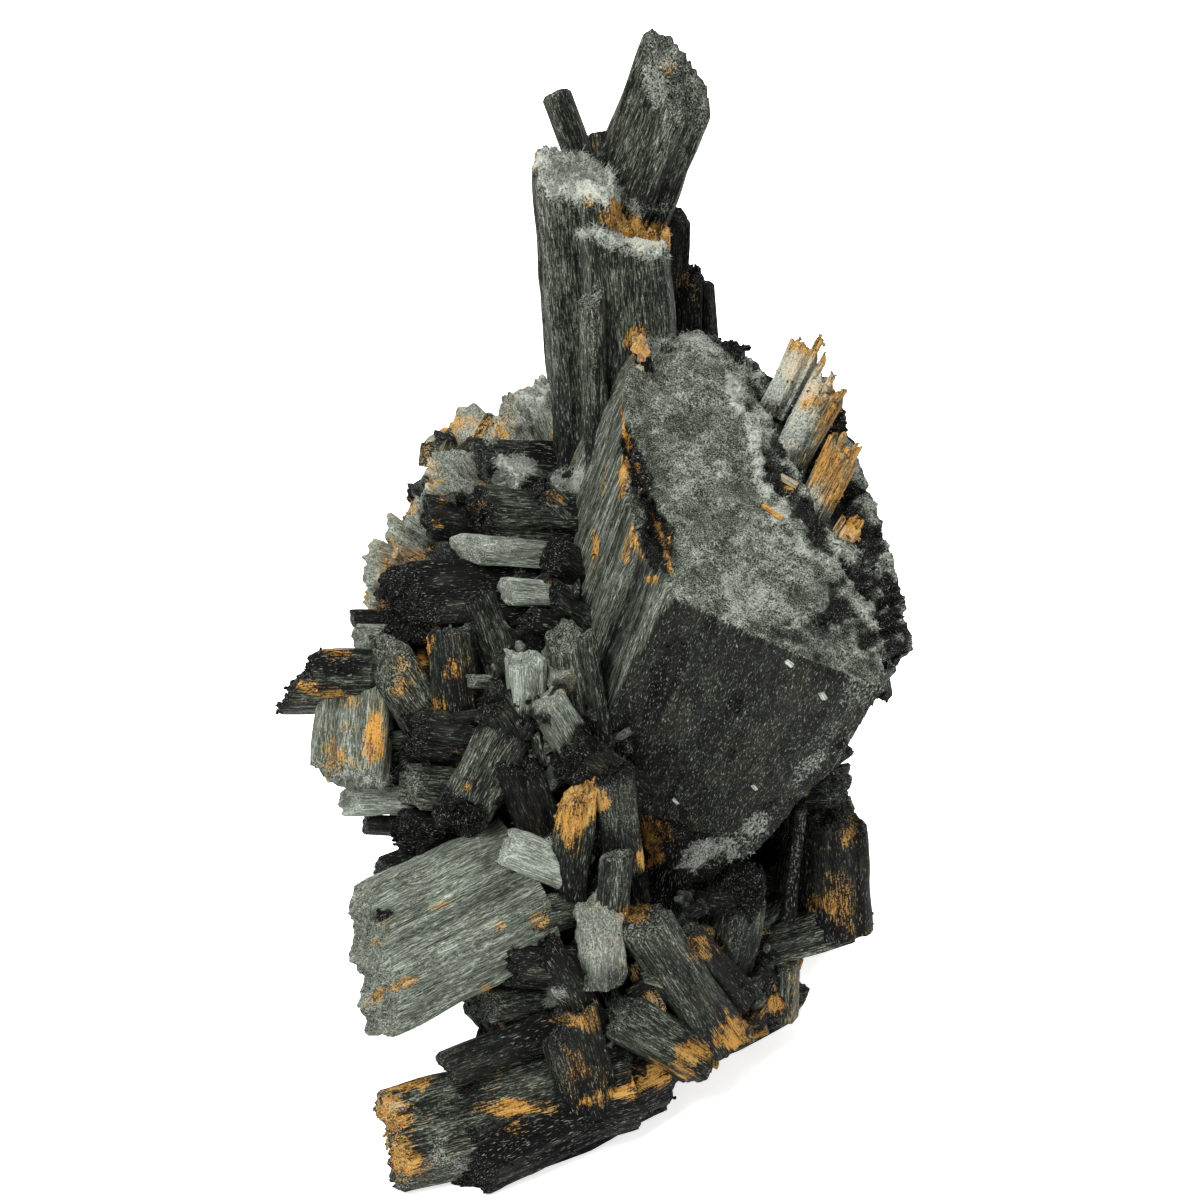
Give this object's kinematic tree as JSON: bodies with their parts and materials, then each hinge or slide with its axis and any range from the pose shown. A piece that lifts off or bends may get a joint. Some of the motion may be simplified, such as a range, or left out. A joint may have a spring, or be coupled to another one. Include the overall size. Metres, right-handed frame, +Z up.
{
  "type": "amphibole crystal cluster",
  "caption": "Free-standing cluster of dark green fibrous amphibole prisms grown together out of one rusty matrix, flat cut underneath.",
  "frame": {"origin": "on the surface the specimen stands on, below the middle of the whole specimen", "axes": "+Z up, -Y to the side that shows the great prism's end, +X to its right"},
  "size_m": [0.0624, 0.0702, 0.1013],
  "materials": {
    "amphibole": "matte, fibrous, frosted and rusty in patches"
  },
  "bodies": {
    "root": {"amphibole_cluster": "amphibole"}
  },
  "joints": []
}
